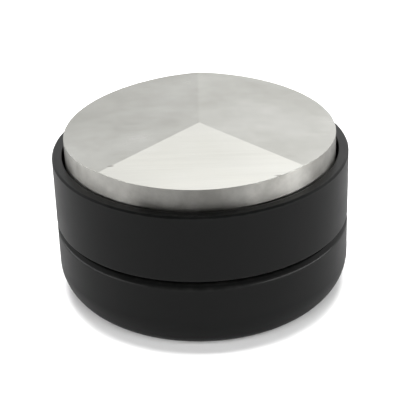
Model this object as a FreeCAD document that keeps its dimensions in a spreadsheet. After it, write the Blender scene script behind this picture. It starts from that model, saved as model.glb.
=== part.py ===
"""Adjustable coffee distributor: a faceted steel head that screws up and down in a two-tier palm body.

It stands on its palm cap, with the steel head upwards. The origin is the centre of the palm face, +Z points
towards the head, and the narrowest of the three facets faces -Y. Sizes are in millimetres.

The head is bolted to a threaded hub. The collar and the cap are both nuts on that hub. The collar sets how
far the head stands out. The cap jams against the collar, with a thin washer between them, to lock the setting.
"""
import FreeCAD, Part
import os

import Sketcher
from FreeCAD import Placement, Rotation, Vector

SHEET = "Sizes"

DIMENSIONS = {
    # the round two-tier body
    "body_radius": 31.75,
    "cap_height": 17.0,
    "cap_palm_round": 8.0,
    "cap_rim_chamfer": 0.9,
    "cap_floor": 4.0,
    "washer_thickness": 0.9,
    "washer_radius": 29.5,
    "washer_bore": 25.4,
    "collar_height": 14.7,
    "collar_shoulder": 4.5,
    "collar_bore": 29.6,
    "collar_top_chamfer": 0.4,
    "collar_edge_break": 0.15,
    # the steel head
    "head_radius": 29.0,
    "head_height": 13.1,
    "head_seat": 25.1,
    "ridge_drop": 0.7,
    "front_facet_angle": 90.0,
    "hub_recess_depth": 2.0,
    "hub_recess_clearance": 0.05,
    "ring_groove_low": 0.8,
    "ring_groove_width": 1.8,
    "ring_groove_radius": 28.0,
    # the friction ring in the head's groove
    "ring_centre_radius": 28.8,
    "ring_section_radius": 0.75,
    # the adjusting thread that the hub, the collar and the cap share
    "thread_pitch": 1.5,
    "thread_major": 25.0,
    "thread_depth": 0.85,
    "thread_root_width": 0.3,
    "thread_radial_gap": 0.1,
    "thread_flank_gap": 0.1,
    "thread_lead_in": 0.5,
    "thread_start": 6.6,
    "cap_thread_turns": 6.0,
    "collar_thread_turns": 2.0,
    "collar_thread_from_turn": 8.0,
    "hub_thread_turns": 14.0,
    # the hub
    "hub_length": 18.1,
    "hub_bore": 20.0,
    "hub_web": 5.0,
    "hub_spigot_radius": 22.0,
    "hub_spigot_height": 1.9,
    # the countersunk screws that hold the hub to the head
    "screw_circle": 12.0,
    "screw_count": 3.0,
    "screw_radius": 2.0,
    "screw_length": 13.0,
    "screw_head_radius": 4.0,
    "screw_gap": 0.1,
    "screw_tap_gap": 0.05,
    "screw_hole_depth": 7.0,
    "screw_socket_radius": 1.45,
    "screw_socket_depth": 1.5,
}

FULL_TURN = 360.0

# circles count as the same within this many millimetres, and a cut must remove more than this
# many cubic millimetres
SAME_CIRCLE = 1e-4
SMALLEST_CUT = 1e-3

# how far a cutting outline runs past the face that it leaves through
CLEAR_PAST = "1"


# ---- the sheet and its formulas ------------------------------------------------------------------


def make_sheet(doc):
    """Put every driving dimension in the sheet, one per row, with its name as the alias."""
    sheet = doc.addObject("Spreadsheet::Sheet", SHEET)
    for row, (name, number) in enumerate(DIMENSIONS.items(), start=1):
        sheet.set(f"A{row}", name)
        sheet.set(f"B{row}", str(number))
        sheet.setAlias(f"B{row}", name)
    doc.recompute()
    return sheet


def formula(text):
    """Turn 'cap_height - cap_floor' into an expression that reads the sheet."""
    words = text.replace("(", "( ").replace(")", " )").split()
    return " ".join(f"{SHEET}.{word}" if word in DIMENSIONS else word for word in words)


def bind(thing, **sizes):
    """Tie each named property of a feature to a formula of sheet names."""
    for name, text in sizes.items():
        thing.setExpression(name, formula(text))


# ---- sketches ------------------------------------------------------------------------------------


def new_body(doc, label, seat="0"):
    """An empty body whose own origin stands at the height `seat` on the axis."""
    body = doc.addObject("PartDesign::Body", label)
    body.Label = label
    body.setExpression("Placement.Base.z", formula(seat))
    return body


def origin_feature(body, role):
    """One of the body's own origin planes or axes."""
    return next(feature for feature in body.Origin.OriginFeatures if feature.Role == role)


def new_sketch(body, name, plane="XZ_Plane"):
    sketch = body.newObject("Sketcher::SketchObject", name)
    sketch.AttachmentSupport = [(origin_feature(body, plane), "")]
    sketch.MapMode = "FlatFace"
    return sketch


def draw_outline(sketch, corners):
    """Draw a closed outline. Each corner is a pair of formulas: across, then up."""
    count = len(corners)
    # any loop will do to start with, because the formulas then place every corner
    start = [Rotation(Vector(0, 0, 1), FULL_TURN * i / count).multVec(Vector(1, 0, 0)) for i in range(count)]
    for i in range(count):
        sketch.addGeometry(Part.LineSegment(start[i], start[(i + 1) % count]))
    for i in range(count):
        sketch.addConstraint(Sketcher.Constraint("Coincident", i, 2, (i + 1) % count, 1))
    for i, (across, up) in enumerate(corners):
        for direction, text, here in (("DistanceX", across, start[i].x), ("DistanceY", up, start[i].y)):
            index = sketch.addConstraint(Sketcher.Constraint(direction, -1, 1, i, 1, here))
            sketch.setExpression(f"Constraints[{index}]", formula(text))


def draw_circle(sketch, radius):
    """Draw a circle about the sketch's origin."""
    circle = sketch.addGeometry(Part.Circle(Vector(0, 0, 0), Vector(0, 0, 1), 1.0))
    sketch.addConstraint(Sketcher.Constraint("Coincident", circle, 3, -1, 1))
    index = sketch.addConstraint(Sketcher.Constraint("Radius", circle, 1.0))
    sketch.setExpression(f"Constraints[{index}]", formula(radius))


# ---- features ------------------------------------------------------------------------------------


def turn_outline(body, name, corners):
    """Turn a closed outline of (radius, height) corners about the axis."""
    sketch = new_sketch(body, name + "_outline")
    draw_outline(sketch, corners)
    turned = body.newObject("PartDesign::Revolution", name)
    turned.Profile = sketch
    turned.ReferenceAxis = (sketch, ["V_Axis"])
    turned.Angle = FULL_TURN
    body.Document.recompute()
    return turned


def circle_edge(feature, radius, height):
    """The name of the feature's edge that is a circle of this radius about the axis at this height."""
    for number, edge in enumerate(feature.Shape.Edges, start=1):
        curve = edge.Curve
        if not isinstance(curve, Part.Circle):
            continue
        centre = curve.Center
        on_axis = abs(centre.x) < SAME_CIRCLE and abs(centre.y) < SAME_CIRCLE
        level = abs(centre.z - height) < SAME_CIRCLE
        if on_axis and level and abs(curve.Radius - radius) < SAME_CIRCLE:
            return f"Edge{number}"
    raise ValueError(f"{feature.Name} has no circle of radius {radius} at height {height}")


def dress_edge(body, kind, name, base, radius, height, size):
    """Fillet or chamfer one circular edge of `base`."""
    dressed = body.newObject(f"PartDesign::{kind}", name)
    dressed.Base = (base, [circle_edge(base, radius, height)])
    size_name = {"Fillet": "Radius", "Chamfer": "Size"}[kind]
    bind(dressed, **{size_name: size})
    body.Document.recompute()
    return dressed


def must_change(body, before, name):
    """A cut that points away from the solid shows no error, so the volume before and after is compared."""
    if abs(body.Shape.Volume - before) < SMALLEST_CUT:
        raise ValueError(f"{name} changed nothing")


def wind_thread(body, kind, name, corners, start, turns):
    """Wind a tooth's outline round the axis, from the height `start` on the +Y side, to add or cut a thread.

    The corners are (radius, half width) pairs for the tooth's lower flank, and its upper flank mirrors them.
    """
    before = body.Shape.Volume
    sketch = new_sketch(body, name + "_tooth", plane="YZ_Plane")
    lower = [(radius, f"{start} - ( {half} )") for radius, half in corners]
    upper = [(radius, f"{start} + {half}") for radius, half in reversed(corners)]
    draw_outline(sketch, lower + upper)
    body.Document.recompute()
    thread = body.newObject(f"PartDesign::{kind}Helix", name)
    thread.Profile = sketch
    thread.ReferenceAxis = (sketch, ["V_Axis"])
    thread.Mode = "pitch-height-angle"
    bind(thread, Pitch="thread_pitch", Height=f"{turns} * thread_pitch")
    body.Document.recompute()
    must_change(body, before, name)


def cut_round_holes(body, name, corners):
    """Turn a small outline about a screw's axis to cut a hole, and repeat it round the screw circle."""
    before = body.Shape.Volume
    sketch = new_sketch(body, name + "_outline")
    draw_outline(sketch, corners)
    axis = sketch.addGeometry(Part.LineSegment(Vector(1, 0, 0), Vector(1, 1, 0)), True)
    sketch.addConstraint(Sketcher.Constraint("Vertical", axis))
    axis_points = (("DistanceX", 1, "screw_circle"), ("DistanceY", 1, "0"), ("DistanceY", 2, "1"))
    for direction, end, text in axis_points:
        index = sketch.addConstraint(Sketcher.Constraint(direction, -1, 1, axis, end, 1.0))
        sketch.setExpression(f"Constraints[{index}]", formula(text))
    hole = body.newObject("PartDesign::Groove", name)
    hole.Profile = sketch
    hole.ReferenceAxis = (sketch, ["Axis0"])
    hole.Angle = FULL_TURN
    body.Document.recompute()
    ring = body.newObject("PartDesign::PolarPattern", name + "_ring")
    ring.Originals = [hole]
    ring.Axis = (origin_feature(body, "Z_Axis"), [""])
    ring.Angle = FULL_TURN
    bind(ring, Occurrences="screw_count")
    body.Tip = ring
    body.Document.recompute()
    must_change(body, before, name)
    return ring


# ---- the thread's form ---------------------------------------------------------------------------

# both flanks lean at 30 degrees, so half of a groove widens by this much for each millimetre of radius
LEAN = "tan( 30 )"
ROOT_RADIUS = "thread_major - thread_depth"
BORE_RADIUS = "thread_major + thread_radial_gap"

# the cutter reaches this far out of the hub, and the nuts' teeth this far into their bore
PAST = "0.1"


def cut_hub_thread(body, start, turns):
    """The hub's groove, widest at the crest."""
    half_root = "thread_root_width / 2"
    half_mouth = f"{half_root} + {LEAN} * ( thread_depth + {PAST} )"
    corners = [(ROOT_RADIUS, half_root), (f"thread_major + {PAST}", half_mouth)]
    wind_thread(body, "Subtractive", "hub_thread", corners, start, turns)


def add_nut_thread(body, start, turns):
    """A nut's tooth, which runs in the hub's groove with a gap at its crest and at both flanks."""
    half_crest = f"thread_root_width / 2 + {LEAN} * thread_radial_gap - thread_flank_gap"
    half_foot = f"{half_crest} + {LEAN} * ( thread_depth + {PAST} )"
    corners = [(f"{ROOT_RADIUS} + thread_radial_gap", half_crest), (f"{BORE_RADIUS} + {PAST}", half_foot)]
    wind_thread(body, "Additive", "nut_thread", corners, start, turns)


# ---- the pieces ----------------------------------------------------------------------------------

COLLAR_SEAT = "cap_height + washer_thickness"


def palm_cap(doc, sizes):
    """The lower tier: a cup with a rounded palm face, threaded inside."""
    body = new_body(doc, "palm_cap")
    turned = turn_outline(
        body,
        "cup",
        [
            ("0", "0"),
            ("body_radius", "0"),
            ("body_radius", "cap_height"),
            (f"{BORE_RADIUS} + thread_lead_in", "cap_height"),
            (BORE_RADIUS, "cap_height - thread_lead_in"),
            (BORE_RADIUS, "cap_floor"),
            ("0", "cap_floor"),
        ],
    )
    rounded = dress_edge(body, "Fillet", "palm_round", turned, sizes.body_radius, 0.0, "cap_palm_round")
    dress_edge(
        body, "Chamfer", "rim_chamfer", rounded, sizes.body_radius, sizes.cap_height, "cap_rim_chamfer"
    )
    add_nut_thread(body, "thread_start", "cap_thread_turns")
    return body


def lock_washer(doc, sizes):
    """The thin washer that the cap squeezes against the collar."""
    body = new_body(doc, "lock_washer", seat="cap_height")
    sketch = new_sketch(body, "washer_outline", plane="XY_Plane")
    draw_circle(sketch, "washer_radius")
    draw_circle(sketch, "washer_bore")
    pad = body.newObject("PartDesign::Pad", "washer")
    pad.Profile = sketch
    bind(pad, Length="washer_thickness")
    doc.recompute()
    return body


def depth_collar(doc, sizes):
    """The upper tier: a ring with a threaded shoulder below and a plain bore for the head above."""
    body = new_body(doc, "depth_collar", seat=COLLAR_SEAT)
    turned = turn_outline(
        body,
        "ring",
        [
            (f"{BORE_RADIUS} + thread_lead_in", "0"),
            ("body_radius", "0"),
            ("body_radius", "collar_height"),
            ("collar_bore", "collar_height"),
            ("collar_bore", "collar_shoulder"),
            (f"{BORE_RADIUS} + thread_lead_in", "collar_shoulder"),
            (BORE_RADIUS, "collar_shoulder - thread_lead_in"),
            (BORE_RADIUS, "thread_lead_in"),
        ],
    )
    top = sizes.collar_height
    edged = dress_edge(body, "Chamfer", "top_chamfer", turned, sizes.body_radius, top, "collar_top_chamfer")
    edged = dress_edge(body, "Chamfer", "mouth_break", edged, sizes.collar_bore, top, "collar_edge_break")
    dress_edge(body, "Chamfer", "foot_break", edged, sizes.body_radius, 0.0, "collar_edge_break")
    # the tooth starts a whole number of turns above the cap's, so that both follow the hub's one groove
    start = f"thread_start + collar_thread_from_turn * thread_pitch - ( {COLLAR_SEAT} )"
    add_nut_thread(body, start, "collar_thread_turns")
    return body


def friction_ring(doc, sizes):
    """The rubber ring in the head's groove, which rubs on the collar's bore and holds the setting."""
    ring = doc.addObject("Part::Torus", "friction_ring")
    ring.Label = "friction_ring"
    bind(ring, Radius1="ring_centre_radius", Radius2="ring_section_radius")
    ring.setExpression("Placement.Base.z", formula("head_seat + ring_groove_low + ring_groove_width / 2"))
    doc.recompute()
    return ring


def cut_facet(body, name, bearing, half_width):
    """Slope the head's top down from its centre towards `bearing`, in degrees anticlockwise from -Y.

    Neighbouring facets meet in ridges that all fall by ridge_drop, so a narrow facet is less steep
    than a wide one.
    """
    before = body.Shape.Volume
    reach = "2 * head_radius"
    fall = f"2 * ridge_drop / cos( {half_width} )"
    above = f"head_height + {CLEAR_PAST}"
    sketch = new_sketch(body, name + "_wedge", plane="YZ_Plane")
    sketch.AttachmentOffset = Placement(Vector(0, 0, 0), Rotation(Vector(0, 1, 0), bearing))
    draw_outline(
        sketch,
        [
            ("0", "head_height"),
            (f"0 - {reach}", f"head_height - {fall}"),
            (f"0 - {reach}", above),
            ("0", above),
        ],
    )
    body.Document.recompute()
    pocket = body.newObject("PartDesign::Pocket", name)
    pocket.Profile = sketch
    pocket.Midplane = True
    bind(pocket, Length="4 * head_radius")
    body.Document.recompute()
    must_change(body, before, name)


def distributor_head(doc, sizes):
    """The steel head: a thick disc, three facets above, a recess and screw holes for the hub below."""
    body = new_body(doc, "distributor_head", seat="head_seat")
    recess = "hub_spigot_radius + hub_recess_clearance"
    turn_outline(
        body,
        "disc",
        [
            ("0", "hub_recess_depth"),
            (recess, "hub_recess_depth"),
            (recess, "0"),
            ("head_radius", "0"),
            ("head_radius", "ring_groove_low"),
            ("ring_groove_radius", "ring_groove_low"),
            ("ring_groove_radius", "ring_groove_low + ring_groove_width"),
            ("head_radius", "ring_groove_low + ring_groove_width"),
            ("head_radius", "head_height"),
            ("0", "head_height"),
        ],
    )
    # the front facet takes its own angle, and the two rear facets share the rest of the circle
    rear_bearing = FULL_TURN / 4 + sizes.front_facet_angle / 4
    cut_facet(body, "front_facet", 0.0, "front_facet_angle / 2")
    cut_facet(body, "left_facet", -rear_bearing, "90 - front_facet_angle / 4")
    cut_facet(body, "right_facet", rear_bearing, "90 - front_facet_angle / 4")
    tapped = "screw_circle + screw_radius + screw_tap_gap"
    cut_round_holes(
        body,
        "tapped_hole",
        [
            ("screw_circle", "0"),
            (tapped, "0"),
            (tapped, "hub_recess_depth + screw_hole_depth"),
            ("screw_circle", "hub_recess_depth + screw_hole_depth"),
        ],
    )
    return body


def threaded_hub(doc, sizes):
    """The hub: a cup with the adjusting thread outside, a web for the screws and a spigot into the head."""
    body = new_body(doc, "threaded_hub", seat="head_seat")
    turned = turn_outline(
        body,
        "cup",
        [
            ("0", "hub_spigot_height"),
            ("hub_spigot_radius", "hub_spigot_height"),
            ("hub_spigot_radius", "0"),
            ("thread_major", "0"),
            ("thread_major", "0 - hub_length"),
            ("hub_bore", "0 - hub_length"),
            ("hub_bore", "0 - hub_web"),
            ("0", "0 - hub_web"),
        ],
    )
    dress_edge(body, "Chamfer", "lead_in", turned, sizes.thread_major, -sizes.hub_length, "thread_lead_in")
    clear = "screw_circle + screw_radius + screw_gap"
    sunk = "screw_circle + screw_head_radius + screw_gap"
    cut_round_holes(
        body,
        "screw_hole",
        [
            ("screw_circle", "0 - hub_web"),
            (sunk, "0 - hub_web"),
            (clear, "screw_head_radius - screw_radius - hub_web"),
            (clear, f"hub_spigot_height + {CLEAR_PAST}"),
            ("screw_circle", f"hub_spigot_height + {CLEAR_PAST}"),
        ],
    )
    # the groove starts one turn below the cap's tooth, beyond the hub's end, so that it runs out there
    cut_hub_thread(body, "thread_start - thread_pitch - head_seat", "hub_thread_turns")
    return body


def countersunk_screw(doc, number, sizes):
    """One screw, head down, with a six-sided socket."""
    cone = doc.addObject("Part::Cone", f"screw_{number}_cone")
    bind(
        cone,
        Radius1="screw_head_radius",
        Radius2="screw_radius",
        Height="screw_head_radius - screw_radius",
    )
    shank = doc.addObject("Part::Cylinder", f"screw_{number}_shank")
    bind(shank, Radius="screw_radius", Height="screw_length")
    blank = doc.addObject("Part::Fuse", f"screw_{number}_blank")
    blank.Base = cone
    blank.Tool = shank
    socket = doc.addObject("Part::Prism", f"screw_{number}_socket")
    socket.Polygon = 6
    bind(socket, Circumradius="screw_socket_radius", Height="screw_socket_depth")
    screw = doc.addObject("Part::Cut", f"screw_{number}")
    screw.Base = blank
    screw.Tool = socket
    bearing = Rotation(Vector(0, 0, 1), FULL_TURN * number / sizes.screw_count)
    seat = bearing.multVec(Vector(sizes.screw_circle, 0, 0))
    seat.z = sizes.head_seat - sizes.hub_web
    screw.Placement = Placement(seat, bearing)
    return screw


def hub_screws(doc, sizes):
    """The identical screws, as separate solids of one node."""
    screws = doc.addObject("Part::Compound", "hub_screws")
    screws.Label = "hub_screws"
    screws.Links = [countersunk_screw(doc, number, sizes) for number in range(int(sizes.screw_count))]
    doc.recompute()
    return screws


# ---- checks and files ----------------------------------------------------------------------------


def check_document(doc, pieces):
    """Stop if any object failed or any piece is missing, open or invalid."""
    for thing in doc.Objects:
        if "Invalid" in thing.State or "Error" in thing.State:
            raise ValueError(f"{thing.Name} failed: {thing.State}")
    for piece in pieces:
        shape = piece.Shape
        if shape.isNull() or not shape.isValid() or not shape.Solids:
            raise ValueError(f"{piece.Label} has no valid solid")
        print(f"{piece.Label}: {len(shape.Solids)} solid(s), {shape.Volume:.0f} mm3, box {shape.BoundBox}")


def write_pieces(pieces):
    os.makedirs("parts", exist_ok=True)
    for piece in pieces:
        piece.Shape.exportStep(f"parts/{piece.Label}.step")


def main():
    doc = FreeCAD.newDocument("coffee_distributor")
    sizes = make_sheet(doc)
    makers = (
        palm_cap,
        lock_washer,
        depth_collar,
        friction_ring,
        distributor_head,
        threaded_hub,
        hub_screws,
    )
    pieces = [make(doc, sizes) for make in makers]
    doc.recompute()
    check_document(doc, pieces)
    write_pieces(pieces)


main()
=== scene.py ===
"""The looks of the adjustable coffee distributor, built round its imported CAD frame. Lengths are in metres.

The head, the collar and the cap are turned pieces, so each is drawn again here as an outline with finely
rounded edges and turned into a clean mesh. The hub, its screws, the washer and the rubber ring keep their
CAD shapes.
"""
import math

import bmesh
import bpy
from mathutils import Matrix, Vector


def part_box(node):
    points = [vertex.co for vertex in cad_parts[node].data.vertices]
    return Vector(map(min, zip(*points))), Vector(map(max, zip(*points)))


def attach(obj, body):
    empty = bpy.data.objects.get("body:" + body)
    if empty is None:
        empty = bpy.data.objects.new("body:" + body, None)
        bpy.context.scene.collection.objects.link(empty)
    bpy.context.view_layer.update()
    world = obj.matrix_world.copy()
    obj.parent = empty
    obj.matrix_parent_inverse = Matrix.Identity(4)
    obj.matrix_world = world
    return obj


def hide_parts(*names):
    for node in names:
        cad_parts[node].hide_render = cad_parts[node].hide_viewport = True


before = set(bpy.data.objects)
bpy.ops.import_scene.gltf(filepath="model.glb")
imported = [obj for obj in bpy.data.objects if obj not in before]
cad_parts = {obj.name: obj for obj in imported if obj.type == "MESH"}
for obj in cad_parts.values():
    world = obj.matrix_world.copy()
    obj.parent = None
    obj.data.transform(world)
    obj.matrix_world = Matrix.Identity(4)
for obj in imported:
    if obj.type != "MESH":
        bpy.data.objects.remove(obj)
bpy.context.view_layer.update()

MM = 0.001
FULL_TURN = 2 * math.pi

# ---- sizes, from the frame where it has them -----------------------------------------------------

CAP_LOW, CAP_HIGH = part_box("palm_cap")
COLLAR_LOW, COLLAR_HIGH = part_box("depth_collar")
HEAD_LOW, HEAD_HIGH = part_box("distributor_head")
HUB_LOW, HUB_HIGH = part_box("threaded_hub")

BODY_RADIUS = CAP_HIGH.x
HEAD_RADIUS = HEAD_HIGH.x

# the adjusting thread
THREAD_PITCH = 1.5 * MM
THREAD_GAP = 0.1 * MM
THREAD_START = 6.6 * MM
CAP_THREAD_TURNS = 6
COLLAR_THREAD_TURNS = 2
COLLAR_THREAD_FROM_TURN = 8
NUT_BORE = HUB_HIGH.x + THREAD_GAP

# the nuts' tooth: its crest, and its foot, which is sunk into the nut's wall
CREST_RADIUS = 24.25 * MM
CREST_HALF_WIDTH = 0.108 * MM
FOOT_RADIUS = 25.2 * MM
FOOT_HALF_WIDTH = 0.656 * MM

# the cap and the collar
PALM_ROUND = 8.0 * MM
CAP_FLOOR = 4.0 * MM
RIM_CHAMFER = 0.9 * MM
COLLAR_SHOULDER = 4.5 * MM
COLLAR_BORE = 29.6 * MM
COLLAR_CHAMFER = 0.4 * MM
LEAD_IN = 0.5 * MM

# the head: its facets above, and the friction ring's groove and the hub's recess below
FRONT_FACET = math.radians(90)
RIDGE_DROP = 0.7 * MM
FACETED_DEPTH = 3.0 * MM
GROOVE_LOW = 0.8 * MM
GROOVE_WIDTH = 1.8 * MM
GROOVE_RADIUS = 28.0 * MM
RECESS_RADIUS = 22.05 * MM
RECESS_DEPTH = 2.0 * MM

# how much each kind of edge is rounded
EDGE_ROUND = 0.09 * MM
HEAD_EDGE_ROUND = 0.05 * MM
SOFT_ROUND = 0.16 * MM
CHAMFER_ROUND = 0.8 * MM

# to keep flat faces flat, an extra ring runs this far beyond each rounding, or at this share of a short side
GUARD = 0.35 * MM
GUARD_SHARE = 0.45

# how finely the meshes are divided, and the radius below which a ring is one point on the axis
SEGMENTS = 240
RING_TURNS = [FULL_TURN * i / SEGMENTS for i in range(SEGMENTS)]
ROUNDING_STEPS = 4
HEAD_ROUNDING_STEPS = 3
PALM_STEPS = 24
THREAD_STEPS = 72
ON_AXIS = 1e-7


# ---- turned meshes -------------------------------------------------------------------------------


def rounded_outline(corners):
    """Round a closed outline's corners. Each corner is (radius, height, rounding).

    Returns (radius, height, wear) points. Wear is 1 on a rounding and 0 a little way off it, so that a
    material can find the edges.
    """
    points = []
    count = len(corners)
    for i, (x, z, rounding) in enumerate(corners):
        corner = Vector((x, z))
        if rounding == 0:
            points.append((x, z, 0.0))
            continue
        back = Vector(corners[i - 1][:2]) - corner
        ahead = Vector(corners[(i + 1) % count][:2]) - corner
        room = min(back.length, ahead.length)
        back.normalize()
        ahead.normalize()
        half = back.angle(ahead) / 2
        reach = rounding / math.tan(half)
        centre = corner + (back + ahead).normalized() * (rounding / math.sin(half))
        guard = min(reach + GUARD, room * GUARD_SHARE)
        if guard > reach:
            points.append((*(corner + back * guard), 0.0))
        start = corner + back * reach - centre
        end = corner + ahead * reach - centre
        for step in range(ROUNDING_STEPS + 1):
            arm = start.slerp(end, step / ROUNDING_STEPS) * rounding
            points.append((*(centre + arm), 1.0))
        if guard > reach:
            points.append((*(corner + ahead * guard), 0.0))
    return points


def arc_points(centre, radius, start, end, steps):
    """Points of a large round stretch, with no wear, for use between rounded corners."""
    angles = [start + (end - start) * i / steps for i in range(steps + 1)]
    return [(centre[0] + radius * math.cos(a), centre[1] + radius * math.sin(a), 0.0) for a in angles]


def add_tooth(bm, start, turns):
    """A nut's thread: one tooth wound up the bore as a closed, capped coil, from the +Y side."""
    outline = [
        (FOOT_RADIUS, -FOOT_HALF_WIDTH),
        (CREST_RADIUS, -CREST_HALF_WIDTH),
        (CREST_RADIUS, CREST_HALF_WIDTH),
        (FOOT_RADIUS, FOOT_HALF_WIDTH),
    ]
    sections = []
    for step in range(turns * THREAD_STEPS + 1):
        turn = FULL_TURN * step / THREAD_STEPS
        middle = start + THREAD_PITCH * step / THREAD_STEPS
        section = []
        for radius, up in outline:
            section.append(bm.verts.new((-radius * math.sin(turn), radius * math.cos(turn), middle + up)))
        sections.append(section)
    for low, high in zip(sections, sections[1:]):
        for i in range(len(outline)):
            j = (i + 1) % len(outline)
            bm.faces.new((low[i], low[j], high[j], high[i]))
    bm.faces.new(sections[0])
    bm.faces.new(sections[-1])


def round_place(radius, turn):
    """A point's x and y, by its radius and its turn from the front towards +X."""
    return radius * math.sin(turn), -radius * math.cos(turn)


def add_ring(bm, radius, height):
    """A ring of points round the axis, or one point on it."""
    if radius < ON_AXIS:
        return [bm.verts.new((0, 0, height))]
    return [bm.verts.new((*round_place(radius, turn), height)) for turn in RING_TURNS]


def join_rings(bm, low, high):
    """Faces between two rings, three-cornered ones where a ring is one point."""
    for i in range(SEGMENTS):
        j = (i + 1) % SEGMENTS
        corners = [low[i % len(low)], low[j % len(low)], high[j % len(high)], high[i % len(high)]]
        bm.faces.new(list(dict.fromkeys(corners)))


def turned_mesh(name, points, tooth):
    """Turn (radius, height, wear) points about the axis. The outline is closed, or both its ends are on it.

    `tooth` is the height at which the nut's thread starts and its number of turns.
    """
    mesh = bpy.data.meshes.new(name)
    bm = bmesh.new()
    wear = bm.verts.layers.float.new("edge_wear")
    rings = []
    for radius, height, worn in points:
        ring = add_ring(bm, radius, height)
        for vertex in ring:
            vertex[wear] = worn
        rings.append(ring)
    for low, high in zip(rings, rings[1:]):
        join_rings(bm, low, high)
    starts_on_axis = len(rings[0]) == 1
    if not starts_on_axis:
        join_rings(bm, rings[-1], rings[0])
    for face in bm.faces:
        face.smooth = True
    add_tooth(bm, *tooth)
    bmesh.ops.recalc_face_normals(bm, faces=bm.faces)
    bm.to_mesh(mesh)
    bm.free()
    return mesh


def add_piece(name, mesh, body, slot, replaced, *materials):
    """Put a mesh in the scene as a visual piece, on a body and in the place of a CAD node."""
    piece = bpy.data.objects.new(name, mesh)
    bpy.context.scene.collection.objects.link(piece)
    for material in materials:
        mesh.materials.append(material)
    weighted = piece.modifiers.new("flat_faces_stay_flat", "WEIGHTED_NORMAL")
    weighted.weight = 100
    weighted.keep_sharp = True
    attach(piece, body)
    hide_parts(replaced)


def make_cap(material):
    radius, top = BODY_RADIUS, CAP_HIGH.z
    palm = arc_points((radius - PALM_ROUND, PALM_ROUND), PALM_ROUND, -math.pi / 2, 0, PALM_STEPS)
    # the last two corners only close the outline, and the palm's arc takes their place
    cup = rounded_outline(
        [
            (radius, top - RIM_CHAMFER, CHAMFER_ROUND),
            (radius - RIM_CHAMFER, top, CHAMFER_ROUND),
            (NUT_BORE + LEAD_IN, top, EDGE_ROUND),
            (NUT_BORE, top - LEAD_IN, EDGE_ROUND),
            (NUT_BORE, CAP_FLOOR, EDGE_ROUND),
            (0, CAP_FLOOR, 0),
            (0, 0, 0),
            (radius, PALM_ROUND, 0),
        ]
    )
    points = [(0, 0, 0.0)] + palm + cup[:-2]
    mesh = turned_mesh("palm_cap_turned", points, (THREAD_START, CAP_THREAD_TURNS))
    add_piece("palm_cap_turned", mesh, "cap", "black_anodised", "palm_cap", material)


def make_collar(material):
    radius, low, top = BODY_RADIUS, COLLAR_LOW.z, COLLAR_HIGH.z
    shoulder = low + COLLAR_SHOULDER
    points = rounded_outline(
        [
            (radius, low, SOFT_ROUND),
            (radius, top - COLLAR_CHAMFER, EDGE_ROUND),
            (radius - COLLAR_CHAMFER, top, EDGE_ROUND),
            (COLLAR_BORE, top, SOFT_ROUND),
            (COLLAR_BORE, shoulder, EDGE_ROUND),
            (NUT_BORE + LEAD_IN, shoulder, EDGE_ROUND),
            (NUT_BORE, shoulder - LEAD_IN, EDGE_ROUND),
            (NUT_BORE, low + LEAD_IN, EDGE_ROUND),
            (NUT_BORE + LEAD_IN, low, EDGE_ROUND),
        ]
    )
    tooth_start = THREAD_START + COLLAR_THREAD_FROM_TURN * THREAD_PITCH
    mesh = turned_mesh("depth_collar_turned", points, (tooth_start, COLLAR_THREAD_TURNS))
    add_piece("depth_collar_turned", mesh, "collar", "black_anodised", "depth_collar", material)


# ---- the faceted head ----------------------------------------------------------------------------


def facet_height(x, y):
    """The height of the head's top at a point: the lowest of its three sloping planes there."""
    rear_bearing = FULL_TURN / 4 + FRONT_FACET / 4
    rear_half = math.pi / 2 - FRONT_FACET / 4
    falls = []
    for bearing, half in ((0, FRONT_FACET / 2), (-rear_bearing, rear_half), (rear_bearing, rear_half)):
        slope = RIDGE_DROP / HEAD_RADIUS / math.cos(half)
        falls.append(slope * (x * math.sin(bearing) - y * math.cos(bearing)))
    return HEAD_HIGH.z - max(falls)


def head_outline():
    """The head's outline from its recess, round its foot and up its wall to a little below the facets."""
    base = HEAD_LOW.z
    groove = base + GROOVE_LOW
    recess = base + RECESS_DEPTH
    corners = rounded_outline(
        [
            (0, recess, 0),
            (RECESS_RADIUS, recess, EDGE_ROUND),
            (RECESS_RADIUS, base, EDGE_ROUND),
            (HEAD_RADIUS, base, EDGE_ROUND),
            (HEAD_RADIUS, groove, EDGE_ROUND),
            (GROOVE_RADIUS, groove, EDGE_ROUND),
            (GROOVE_RADIUS, groove + GROOVE_WIDTH, EDGE_ROUND),
            (HEAD_RADIUS, groove + GROOVE_WIDTH, EDGE_ROUND),
            (HEAD_RADIUS, HEAD_HIGH.z - FACETED_DEPTH, 0),
            (0, HEAD_HIGH.z - FACETED_DEPTH, 0),
        ]
    )
    return corners[:-1]


def add_facets(bm, rim):
    """The front facet, the one to its right and the one to its left, from the head's rim to its peak."""
    peak = bm.verts.new((0, 0, HEAD_HIGH.z))
    half_front = round(SEGMENTS * FRONT_FACET / FULL_TURN / 2)
    rear = SEGMENTS // 2
    facets = []
    for start, end in ((-half_front, half_front), (half_front, rear), (rear, SEGMENTS - half_front)):
        facets.append(bm.faces.new([peak] + [rim[i % SEGMENTS] for i in range(start, end + 1)]))
    return facets


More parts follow.
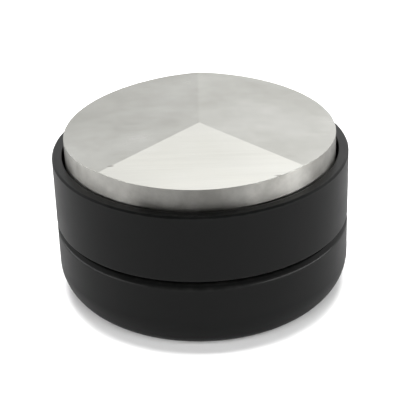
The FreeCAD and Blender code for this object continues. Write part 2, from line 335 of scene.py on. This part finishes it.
def make_head(facet_material, wall_material):
    mesh = bpy.data.meshes.new("distributor_head_turned")
    bm = bmesh.new()
    rings = [add_ring(bm, radius, height) for radius, height, _ in head_outline()]
    rim_places = [round_place(HEAD_RADIUS, turn) for turn in RING_TURNS]
    rim = [bm.verts.new((x, y, facet_height(x, y))) for x, y in rim_places]
    rings.append(rim)
    for low, high in zip(rings, rings[1:]):
        join_rings(bm, low, high)
    facets = add_facets(bm, rim)
    bmesh.ops.recalc_face_normals(bm, faces=bm.faces)
    sharp = set()
    for facet in facets:
        sharp.update(facet.edges)
    for face in bm.faces:
        face.smooth = True
        face.material_index = 0 if face in facets else 1
    bmesh.ops.bevel(
        bm,
        geom=list(sharp),
        offset=HEAD_EDGE_ROUND,
        offset_type="OFFSET",
        segments=HEAD_ROUNDING_STEPS,
        profile=0.5,
        affect="EDGES",
        material=0,
    )
    bm.to_mesh(mesh)
    bm.free()
    materials = (facet_material, wall_material)
    add_piece("distributor_head_turned", mesh, "head", "brushed_head", "distributor_head", *materials)


# ---- material building ---------------------------------------------------------------------------

NOISE_RANGE = (0.3, 0.7)


class Nodes:
    """A short way to write a node material."""

    def __init__(self, name):
        self.material = bpy.data.materials.new(name)
        self.material.use_nodes = True
        self.tree = self.material.node_tree
        self.shader = self.tree.nodes["Principled BSDF"]

    @classmethod
    def of_tree(cls, tree):
        """The same for a tree that isn't a material's, such as the world's."""
        nodes = cls.__new__(cls)
        nodes.tree = tree
        return nodes

    def add(self, kind, inputs=None, **settings):
        node = self.tree.nodes.new(kind)
        for name, value in settings.items():
            setattr(node, name, value)
        for name, value in (inputs or {}).items():
            self.feed(node.inputs[name], value)
        return node

    def feed(self, socket, value):
        """Link an output to a socket, or set the socket to a number or colour."""
        if isinstance(value, bpy.types.NodeSocket):
            self.tree.links.new(value, socket)
        else:
            socket.default_value = value

    def math(self, operation, first, second):
        node = self.add("ShaderNodeMath", operation=operation)
        self.feed(node.inputs[0], first)
        self.feed(node.inputs[1], second)
        return node.outputs[0]

    def place(self, scale=(1, 1, 1)):
        """Where a point is on the object, stretched by `scale`."""
        where = self.add("ShaderNodeTexCoord").outputs["Object"]
        return self.add("ShaderNodeMapping", {"Vector": where, "Scale": scale}).outputs[0]

    def noise(self, where, scale, detail=3.0, roughness=0.5):
        """Soft random patches, about 1 / scale metres across. Most of its values lie in NOISE_RANGE."""
        inputs = {"Vector": where, "Scale": scale, "Detail": detail, "Roughness": roughness}
        return self.add("ShaderNodeTexNoise", inputs).outputs["Fac"]

    def remap(self, value, low, high, start=0.0, end=1.0):
        """Make `value` run from low to high as it goes from start to end."""
        inputs = {"Value": value, "From Min": start, "From Max": end, "To Min": low, "To Max": high}
        return self.add("ShaderNodeMapRange", inputs).outputs["Result"]

    def blend(self, share, first, second):
        """The first colour where `share` is 0, and the second where it is 1."""
        node = self.add("ShaderNodeMix", data_type="RGBA")
        self.feed(node.inputs["Factor"], share)
        self.feed(node.inputs[6], first)
        self.feed(node.inputs[7], second)
        return node.outputs[2]

    def mark(self, where, middle, size):
        """A small mark on the surface: 1 near its middle, fading to 0 at `size` from it along each axis."""
        away = self.add("ShaderNodeVectorMath", operation="SUBTRACT")
        self.feed(away.inputs[0], where)
        self.feed(away.inputs[1], middle)
        share = self.add("ShaderNodeVectorMath", operation="DIVIDE")
        self.feed(share.inputs[0], away.outputs[0])
        self.feed(share.inputs[1], size)
        reach = self.add("ShaderNodeVectorMath", operation="LENGTH")
        self.feed(reach.inputs[0], share.outputs[0])
        return self.remap(reach.outputs["Value"], 1.0, 0.0, 0.4, 1.0)

    def bump(self, height, distance, strength=1.0):
        inputs = {"Height": height, "Distance": distance, "Strength": strength}
        return self.add("ShaderNodeBump", inputs).outputs[0]

    def surface(self, **values):
        """Set or link the shader's inputs, named with _ for a space, and return the material."""
        for name, value in values.items():
            self.feed(self.shader.inputs[name.replace("_", " ")], value)
        return self.material


def grey(level):
    return (level, level, level, 1)


# ---- materials -----------------------------------------------------------------------------------


def black_anodised():
    """Bead-blasted aluminium, dyed black: finely grained, and paler where handling has rubbed its edges."""
    dark_dye = (0.0009, 0.0010, 0.0010, 1)
    pale_dye = (0.0017, 0.0019, 0.0018, 1)
    rubbed = (0.0055, 0.0056, 0.0053, 1)
    n = Nodes("black_anodised")
    where = n.place()
    grain = n.noise(where, 4500, detail=2)
    cloud = n.noise(where, 90, detail=4, roughness=0.6)
    worn = n.add("ShaderNodeAttribute", attribute_name="edge_wear").outputs["Fac"]
    patchy = n.math("MULTIPLY", worn, n.remap(n.noise(where, 600, detail=5), 0.15, 0.85, 0.4, 0.64))
    rough = n.remap(cloud, 0.29, 0.37, *NOISE_RANGE)
    rough = n.math("ADD", rough, n.remap(grain, -0.05, 0.05))
    return n.surface(
        Base_Color=n.blend(patchy, n.blend(cloud, dark_dye, pale_dye), rubbed),
        Roughness=rough,
        Specular_IOR_Level=0.285,
        Normal=n.bump(grain, 0.006 * MM, 0.7),
    )


def near_rim(bearing, radius):
    """A point at the height of the head's rim, by its bearing in degrees from the front and its radius."""
    return (*round_place(radius, math.radians(bearing)), HEAD_HIGH.z - RIDGE_DROP)


# each nick's middle and its half sizes
RIDGE_NICK = (near_rim(-45, 25.6 * MM), (0.8 * MM, 0.4 * MM, 2 * MM))
RIM_NICK = (near_rim(32.5, 28.9 * MM), (1.3 * MM, 0.45 * MM, 2 * MM))


def facet_steel():
    """Ground stainless steel: faint straight grinding lines, a cloudy, uneven gloss and two small nicks,
    drawn only as a darker colour.
    """
    dull = (0.612, 0.608, 0.564, 1)
    bright = (0.70, 0.697, 0.660, 1)
    # the colour of the two small nicks: they are only made darker, with no dent in the surface
    nick_dark = (0.16, 0.15, 0.13, 1)
    n = Nodes("facet_steel")
    where = n.place()
    lines = n.noise(n.place((1, 60, 60)), 40, detail=3)
    cloud = n.noise(where, 75, detail=5, roughness=0.6)
    broad = n.noise(where, 28, detail=2)
    fine = n.noise(where, 5000, detail=2)
    rough = n.remap(cloud, 0.17, 0.26, *NOISE_RANGE)
    rough = n.math("ADD", rough, n.remap(lines, -0.03, 0.03, *NOISE_RANGE))
    shade = n.remap(n.math("ADD", cloud, broad), 0, 1, 0.78, 1.22)
    height = n.math("ADD", n.math("MULTIPLY", lines, 0.5), n.math("MULTIPLY", fine, 0.5))
    ridge_nick = n.mark(where, *RIDGE_NICK)
    rim_nick = n.mark(where, *RIM_NICK)
    nicked = n.math("MULTIPLY", n.math("MAXIMUM", ridge_nick, rim_nick), 0.55)
    return n.surface(
        Base_Color=n.blend(nicked, n.blend(shade, dull, bright), nick_dark),
        Metallic=1.0,
        Roughness=rough,
        Normal=n.bump(height, 0.002 * MM, 0.4),
    )


def wall_steel():
    """Turned stainless steel: fine rings round the axis, which draw its reflections out along the axis."""
    # the wall's steel is coloured darker than the facets' steel: painted shade for the dim floor it mirrors,
    # over a random smudged tone
    smudged_and_shaded = (0.405, 0.396, 0.371, 1)
    clean = (0.645, 0.636, 0.60, 1)
    n = Nodes("wall_steel")
    where = n.place()
    rings = n.noise(n.place((1, 1, 60)), 160, detail=4)
    cloud = n.noise(where, 110, detail=5, roughness=0.65)
    smudge = n.noise(where, 130, detail=4)
    rough = n.remap(cloud, 0.34, 0.47, *NOISE_RANGE)
    tangent = n.add("ShaderNodeTangent", direction_type="RADIAL", axis="Z").outputs[0]
    shade = n.remap(n.math("ADD", cloud, smudge), 0, 1, 0.8, 1.2)
    return n.surface(
        Base_Color=n.blend(shade, smudged_and_shaded, clean),
        Metallic=1.0,
        Roughness=rough,
        Anisotropic=0.85,
        Anisotropic_Rotation=0.25,
        Tangent=tangent,
        Normal=n.bump(rings, 0.003 * MM, 0.4),
    )


def plain_aluminium():
    """Uncoated turned aluminium."""
    n = Nodes("plain_aluminium")
    rings = n.noise(n.place((1, 1, 40)), 200, detail=3)
    return n.surface(
        Base_Color=n.blend(rings, (0.66, 0.67, 0.68, 1), (0.74, 0.745, 0.75, 1)),
        Metallic=1.0,
        Roughness=n.remap(rings, 0.28, 0.42),
        Normal=n.bump(rings, 0.004 * MM, 0.4),
    )


def screw_steel():
    """Plain stainless fasteners."""
    n = Nodes("screw_steel")
    cloud = n.noise(n.place(), 900, detail=4)
    return n.surface(
        Base_Color=n.blend(cloud, (0.42, 0.42, 0.43, 1), (0.52, 0.52, 0.52, 1)),
        Metallic=1.0,
        Roughness=n.remap(cloud, 0.25, 0.4),
        Normal=n.bump(cloud, 0.003 * MM, 0.3),
    )


def soft_black(name, base, rough):
    """Matt black nylon or rubber with a fine grain."""
    n = Nodes(name)
    grain = n.noise(n.place(), 3500, detail=4)
    paler = tuple(2 * channel for channel in base)
    return n.surface(
        Base_Color=n.blend(grain, (*base, 1), (*paler, 1)),
        Roughness=n.remap(grain, rough - 0.05, rough + 0.05),
        Normal=n.bump(grain, 0.008 * MM, 0.5),
    )


def dress_cad_nodes(materials):
    """Give the CAD shapes that stay in view their materials."""
    for name, material in materials.items():
        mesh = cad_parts[name].data
        mesh.materials.clear()
        mesh.materials.append(material)


# ---- studio --------------------------------------------------------------------------------------

# the camera stands in front, up at this height angle from its pivot, and leans a little to one side
CAMERA_HEIGHT_ANGLE = math.radians(28.545)
CAMERA_DISTANCE = 300 * MM
CAMERA_PIVOT = Vector((0, 0, 17.4 * MM))
CAMERA_TARGET = Vector((-0.39 * MM, 0, 19.47 * MM))
CAMERA_ROLL = math.radians(-2.0)
CAMERA_LENS = 122.87
CAMERA_NEAR = 10 * MM


def make_camera():
    data = bpy.data.cameras.new("camera")
    data.lens = CAMERA_LENS
    data.clip_start = CAMERA_NEAR
    camera = bpy.data.objects.new("camera", data)
    bpy.context.scene.collection.objects.link(camera)
    back = Vector((0, -math.cos(CAMERA_HEIGHT_ANGLE), math.sin(CAMERA_HEIGHT_ANGLE)))
    place = CAMERA_PIVOT + back * CAMERA_DISTANCE
    turn = (CAMERA_TARGET - place).to_track_quat("-Z", "Y").to_matrix().to_4x4()
    camera.matrix_world = Matrix.Translation(place) @ turn @ Matrix.Rotation(CAMERA_ROLL, 4, "Z")
    bpy.context.scene.camera = camera


def area_light(name, place, target, size, power):
    """A soft rectangular panel that the camera can't see."""
    data = bpy.data.lights.new(name, "AREA")
    data.energy = power
    data.shape = "RECTANGLE"
    data.size, data.size_y = size
    light = bpy.data.objects.new(name, data)
    light.location = place
    light.rotation_euler = (Vector(target) - Vector(place)).to_track_quat("-Z", "Y").to_euler()
    light.visible_camera = False
    bpy.context.scene.collection.objects.link(light)
    return light


# how bright the studio is at each height, from level (0) to straight up (1)
SKY = ((0.0, 0.9), (0.28, 0.8), (0.40, 0.82), (0.48, 1.42), (0.57, 1.9), (0.72, 0.65), (1.0, 0.55))
# the camera's side of the studio is this much as bright as the far side, and the left as the right
FRONT_SHARE = 0.2
LEFT_SHARE = 0.75
# where the studio's depth and width blend from one share to the other, from -1 to 1
DEPTH_BLEND = (-0.1, 0.7)
ACROSS_BLEND = (-0.16, 0.16)


def make_world():
    """A soft studio: brightest high up behind the object, dim on the camera's side."""
    world = bpy.data.worlds.new("studio")
    bpy.context.scene.world = world
    world.use_nodes = True
    n = Nodes.of_tree(world.node_tree)
    towards = n.add("ShaderNodeTexCoord").outputs["Generated"]
    parts = n.add("ShaderNodeSeparateXYZ", {"Vector": towards}).outputs
    ramp = n.add("ShaderNodeValToRGB", {"Fac": parts["Z"]})
    stops = ramp.color_ramp.elements
    brightest = max(level for _, level in SKY)
    for index, (height, level) in enumerate(SKY):
        stop = stops[index] if index < 2 else stops.new(height)
        stop.position = height
        stop.color = grey(level / brightest)
    depth = n.remap(parts["Y"], FRONT_SHARE, 1.0, *DEPTH_BLEND)
    across = n.remap(parts["X"], LEFT_SHARE, 1.0, *ACROSS_BLEND)
    share = n.math("MULTIPLY", depth, across)
    background = world.node_tree.nodes["Background"]
    n.feed(background.inputs["Color"], ramp.outputs["Color"])
    n.feed(background.inputs["Strength"], n.math("MULTIPLY", share, brightest))


def make_lights():
    """Two soft panels that whiten the floor and aren't mirrored, and a low strip on each side that is.

    Each is given as its place, the point that it faces, its width and height, and its power in watts.
    """
    overhead = area_light("overhead", (0, 0.1, 2.2), (0, 0.1, 0), (1.2, 1.2), 75)
    front_fill = area_light("front_fill", (0, -1.4, 1.0), (0, 0, 0), (1.6, 0.8), 32)
    for light in (overhead, front_fill):
        light.visible_glossy = False
    area_light("right_strip", (1.2, -0.4, 0.06), (0, 0, 0.03), (1.7, 0.12), 8)
    area_light("left_strip", (-1.25, -0.1, 0.06), (0, 0, 0.03), (1.9, 0.12), 5.5)


# the floor is pale, but duller in what the object mirrors, as if its brightness lay only under the object
FLOOR_SHADE = 0.93
FLOOR_MIRRORED_SHADE = 0.265
FLOOR_HALF_WIDTH = 3.0


def make_floor():
    """A plain pale floor, wide enough to fill the picture."""
    mesh = bpy.data.meshes.new("floor")
    bm = bmesh.new()
    bmesh.ops.create_grid(bm, x_segments=1, y_segments=1, size=FLOOR_HALF_WIDTH)
    bm.to_mesh(mesh)
    bm.free()
    floor = bpy.data.objects.new("floor", mesh)
    bpy.context.scene.collection.objects.link(floor)
    n = Nodes("floor")
    mirrored = n.add("ShaderNodeLightPath").outputs["Is Glossy Ray"]
    shade = n.blend(mirrored, grey(FLOOR_SHADE), grey(FLOOR_MIRRORED_SHADE))
    mesh.materials.append(n.surface(Base_Color=shade, Roughness=0.8))


# ---- the scene -----------------------------------------------------------------------------------

anodised = black_anodised()
make_cap(anodised)
make_collar(anodised)
make_head(facet_steel(), wall_steel())
dress_cad_nodes(
    {
        "threaded_hub": plain_aluminium(),
        "hub_screws": screw_steel(),
        "lock_washer": soft_black("black_nylon", (0.012, 0.012, 0.012), 0.55),
        "friction_ring": soft_black("black_rubber", (0.01, 0.01, 0.01), 0.65),
    }
)
make_world()
make_lights()
make_floor()
make_camera()
bpy.context.scene.view_settings.view_transform = "Standard"
